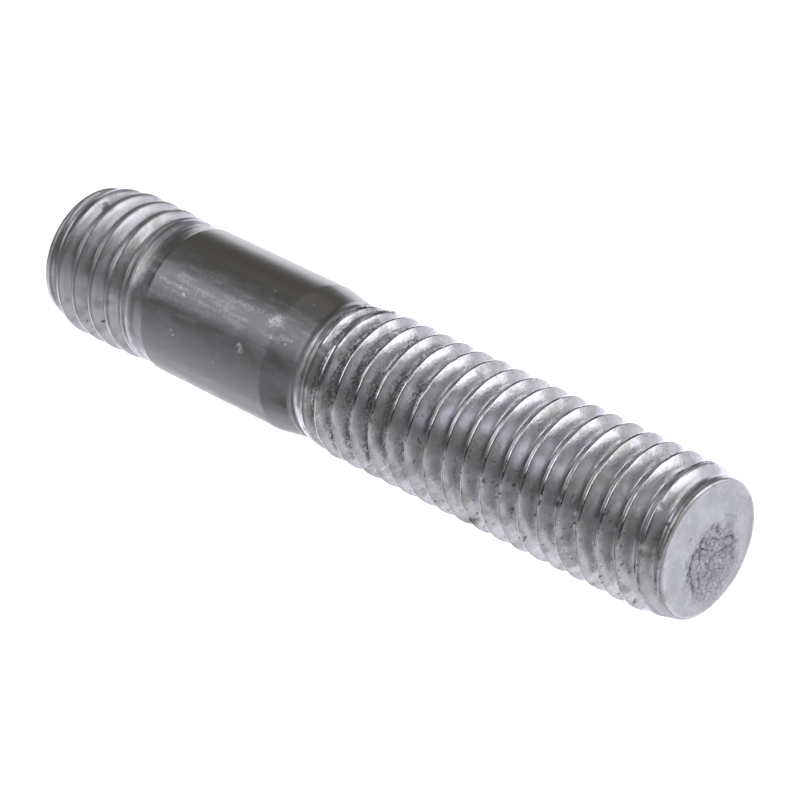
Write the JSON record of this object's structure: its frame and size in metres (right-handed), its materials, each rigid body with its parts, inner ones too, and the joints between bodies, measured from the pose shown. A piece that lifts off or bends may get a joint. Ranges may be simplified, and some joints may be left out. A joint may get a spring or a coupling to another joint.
{
  "type": "wheel stud",
  "caption": "Double-ended steel wheel stud: a short threaded end, a plain dark shank and a long threaded nut end, with a worn, pitted end face.",
  "frame": {"origin": "centre of the metal-end face, on the stud's axis", "axes": "+Z along the stud's axis, from the metal end to the nut end; X and Y are radial"},
  "size_m": [0.01, 0.01, 0.0514],
  "materials": {
    "steel": "rolled, with a satin, slightly pitted surface"
  },
  "bodies": {
    "root": {"wheel_stud": "steel"}
  },
  "joints": []
}
